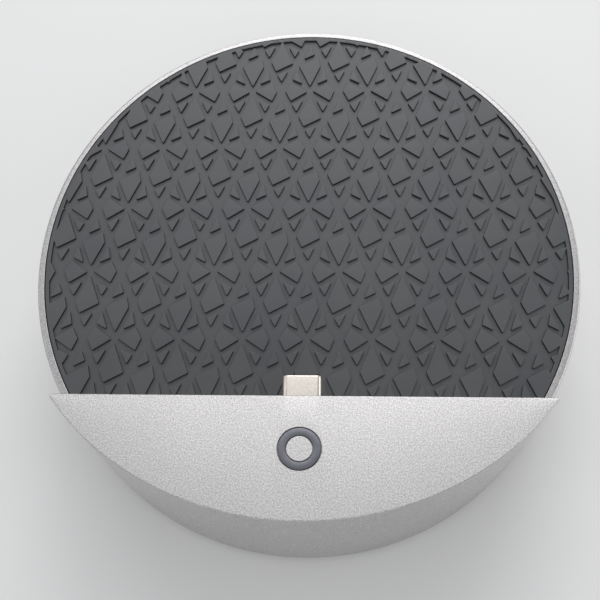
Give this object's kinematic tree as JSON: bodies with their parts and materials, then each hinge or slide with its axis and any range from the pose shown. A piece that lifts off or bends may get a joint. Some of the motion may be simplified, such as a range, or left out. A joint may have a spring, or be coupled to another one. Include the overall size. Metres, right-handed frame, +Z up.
{
  "type": "docking audio receiver",
  "caption": "Round aluminium tabletop dock with a slanted rubber-padded deck, a half-moon front ledge, a tilting connector plug and a rear socket bay.",
  "frame": {"origin": "bottom centre of the drum, on the surface it stands on", "axes": "+Z up, -Y towards the half-moon ledge at the front, +Y towards the rear socket bay, +X to the right seen from the front"},
  "size_m": [0.1292, 0.1292, 0.0395],
  "materials": {
    "aluminium": "bead-blasted and anodised",
    "rubber": "matte",
    "dark_inlay": "satin",
    "black_plastic": "fine moulded texture",
    "grey_plastic": "fine moulded texture",
    "nickel": "satin nickel plating",
    "steel": "zinc plated",
    "circuit_board": "solder mask",
    "tin": "tinned sheet",
    "chip": "moulded epoxy",
    "ribbon": "polyimide film",
    "silicone": "soft matte",
    "white_plastic": "satin",
    "red_plastic": "satin",
    "clear_plastic": "clear"
  },
  "bodies": {
    "receiver": {"body_shell": "aluminium", "rubber_pad": "rubber", "deck_plate": "grey_plastic", "emblem_ring": "dark_inlay", "pivot_pin": "steel", "dock_bracket": "steel", "centring_pad": "silicone", "bracket_screw_left": "steel", "bracket_screw_right": "steel", "slot_gasket": "silicone", "flex_cable": "ribbon", "flex_socket": "white_plastic", "base_plate": "black_plastic", "foot_ring": "rubber", "ballast_plate": "steel", "base_screw_1": "steel", "base_screw_2": "steel", "base_screw_3": "steel", "base_screw_4": "steel", "main_board": "circuit_board", "board_screw_1": "steel", "board_screw_2": "steel", "board_screw_3": "steel", "board_screw_4": "steel", "codec_chip": "chip", "power_inductor": "chip", "filter_capacitor_1": "steel", "filter_capacitor_2": "steel", "filter_capacitor_3": "steel", "filter_capacitor_4": "steel", "wireless_module": "circuit_board", "module_shield": "tin", "chip_antenna": "white_plastic", "rear_panel": "black_plastic", "line_jack_right_housing": "black_plastic", "line_jack_right_barrel": "nickel", "line_jack_right_insert": "red_plastic", "line_jack_left_housing": "black_plastic", "line_jack_left_barrel": "nickel", "line_jack_left_insert": "white_plastic", "power_inlet_shell": "nickel", "power_inlet_tongue": "black_plastic", "pairing_switch": "chip", "status_lens": "clear_plastic", "status_led": "white_plastic"},
    "dock_plug": {"plug_shell": "nickel", "plug_insert": "black_plastic", "plug_carrier": "black_plastic", "plug_board": "circuit_board"},
    "button": {"pairing_button": "grey_plastic"}
  },
  "joints": [
    {"name": "plug_tilt", "type": "hinge", "parent": "receiver", "child": "dock_plug", "pos_m": [0, -0.04706, 0.02906], "axis": [1, 0, 0], "range_deg": [-3, 3], "stiffness_Nm_per_rad": 0.3},
    {"name": "button_press", "type": "slide", "parent": "receiver", "child": "button", "axis": [0, -1, 0], "range_m": [0, 0.0006], "stiffness_N_per_m": 400}
  ]
}
